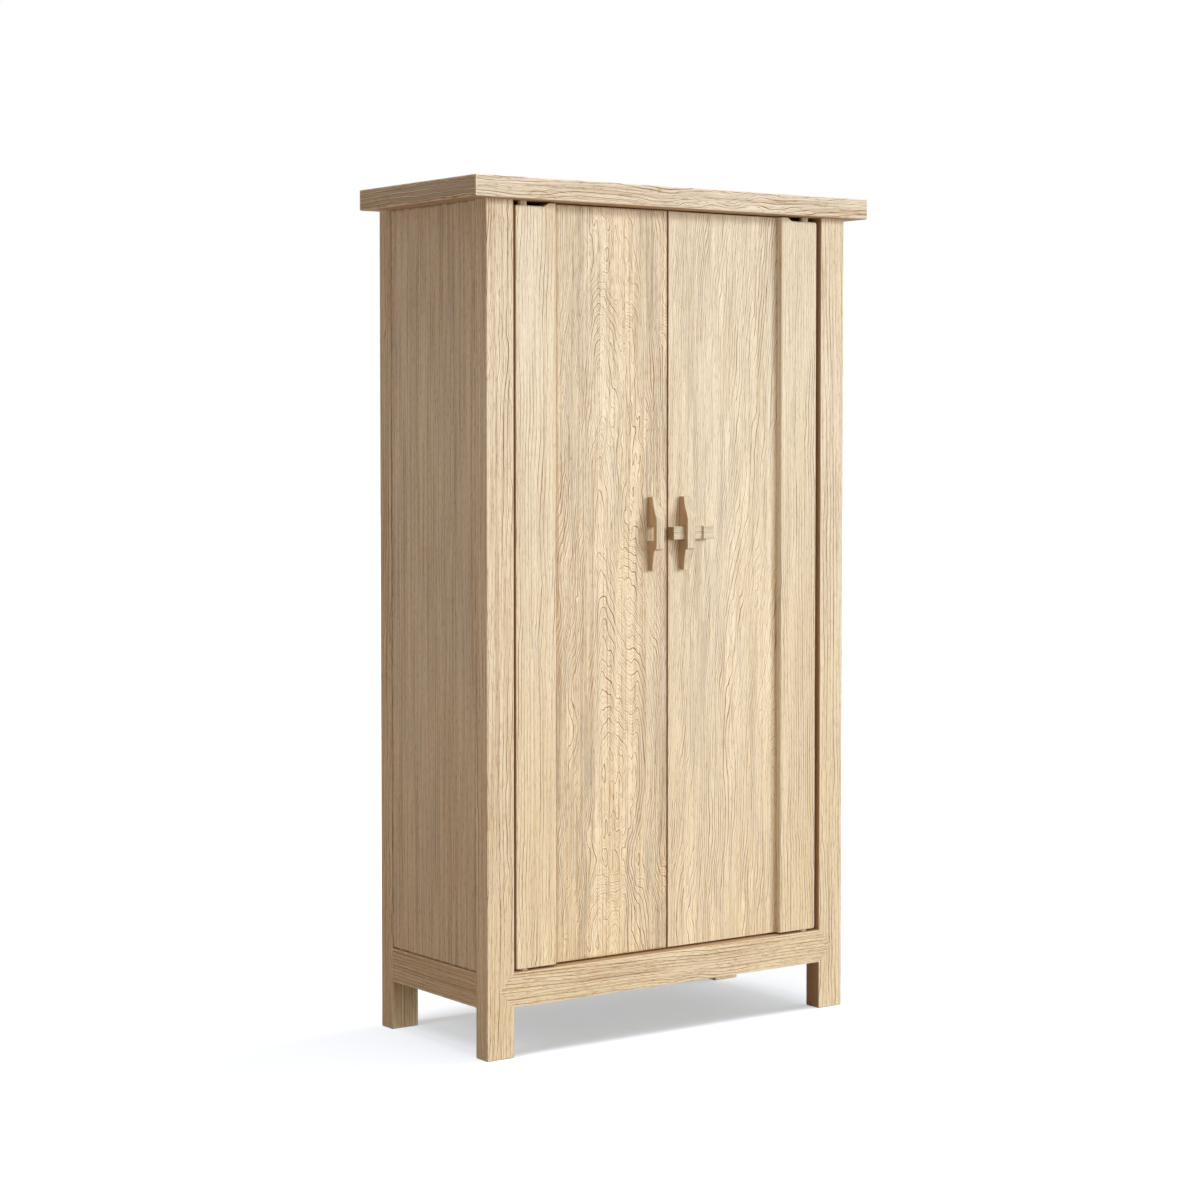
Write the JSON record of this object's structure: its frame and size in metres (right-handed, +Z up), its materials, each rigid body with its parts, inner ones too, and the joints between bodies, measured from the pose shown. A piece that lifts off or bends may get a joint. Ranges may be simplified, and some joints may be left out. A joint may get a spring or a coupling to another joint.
{
  "type": "accent cabinet",
  "caption": "Tall pale elm cabinet on post legs: mitred overhanging top, pivoting doors, carved pulls and a sliding wooden bolt, shelves inside.",
  "frame": {"origin": "on the floor under the middle of the top", "axes": "+X to the right seen from the front, +Y from front to back, +Z up"},
  "size_m": [1.034, 0.454, 1.8],
  "materials": {
    "back_rails": "pale elm, matt limed wax",
    "back_left_post": "pale elm, matt limed wax",
    "back_panels": "pale elm, matt limed wax",
    "back_right_post": "pale elm, matt limed wax",
    "shelves": "pale elm, matt limed wax",
    "door_stops": "pale elm, matt limed wax",
    "front_rail": "pale elm, matt limed wax",
    "front_left_post": "pale elm, matt limed wax",
    "front_right_post": "pale elm, matt limed wax",
    "latch_bolt": "pale elm, matt limed wax",
    "bearers": "pale elm, matt limed wax",
    "side_rails": "pale elm, matt limed wax",
    "door_battens": "pale elm, matt limed wax",
    "left_door_board": "pale elm, matt limed wax",
    "pivot_pins": "pale elm, matt limed wax",
    "left_stile": "pale elm, matt limed wax",
    "left_handle": "pale elm, matt limed wax",
    "dowels": "pale elm, matt limed wax",
    "left_side_panel": "pale elm, matt limed wax",
    "right_door_board": "pale elm, matt limed wax",
    "right_stile": "pale elm, matt limed wax",
    "right_handle": "pale elm, matt limed wax",
    "right_side_panel": "pale elm, matt limed wax",
    "top_back": "pale elm, matt limed wax",
    "top_board": "pale elm, matt limed wax",
    "top_front": "pale elm, matt limed wax",
    "top_left": "pale elm, matt limed wax",
    "top_right": "pale elm, matt limed wax"
  },
  "bodies": {
    "cabinet": {"back_bottom_rail": "back_rails", "back_left_post": "back_left_post", "back_lower_panel": "back_panels", "back_middle_rail": "back_rails", "back_right_post": "back_right_post", "back_upper_panel": "back_panels", "bottom_board": "shelves", "bottom_door_stop": "door_stops", "front_bottom_rail": "front_rail", "front_left_post": "front_left_post", "front_right_post": "front_right_post", "left_bearer_1": "bearers", "left_bearer_2": "bearers", "left_bearer_3": "bearers", "left_bottom_rail": "side_rails", "left_side_panel": "left_side_panel", "right_bearer_1": "bearers", "right_bearer_2": "bearers", "right_bearer_3": "bearers", "right_bottom_rail": "side_rails", "right_side_panel": "right_side_panel", "shelf_1": "shelves", "shelf_2": "shelves", "shelf_3": "shelves", "top_back_member": "top_back", "top_board": "top_board", "top_door_stop": "door_stops", "top_front_member": "top_front", "top_left_brace": "bearers", "top_left_member": "top_left", "top_right_brace": "bearers", "top_right_member": "top_right"},
    "left_door": {"left_door_batten_high": "door_battens", "left_door_batten_low": "door_battens", "left_door_batten_mid": "door_battens", "left_door_board": "left_door_board", "left_door_lower_pin": "pivot_pins", "left_door_stile": "left_stile", "left_door_upper_pin": "pivot_pins", "left_handle": "left_handle", "left_handle_lower_dowel": "dowels", "left_handle_upper_dowel": "dowels"},
    "right_door": {"right_door_batten_high": "door_battens", "right_door_batten_low": "door_battens", "right_door_batten_mid": "door_battens", "right_door_board": "right_door_board", "right_door_lower_pin": "pivot_pins", "right_door_stile": "right_stile", "right_door_upper_pin": "pivot_pins", "right_handle": "right_handle", "right_handle_lower_dowel": "dowels", "right_handle_upper_dowel": "dowels"},
    "latch": {"latch_bolt": "latch_bolt"}
  },
  "joints": [
    {"name": "left_door_hinge", "type": "hinge", "parent": "cabinet", "child": "left_door", "pos_m": [-0.3742, -0.1793, 0], "axis": [0, 0, -1], "range_deg": [0, 120]},
    {"name": "right_door_hinge", "type": "hinge", "parent": "cabinet", "child": "right_door", "pos_m": [0.3742, -0.1793, 0], "axis": [0, 0, 1], "range_deg": [0, 120]},
    {"name": "latch_slide", "type": "slide", "parent": "right_door", "child": "latch", "axis": [-1, 0, 0], "range_m": [0, 0.0671]}
  ]
}
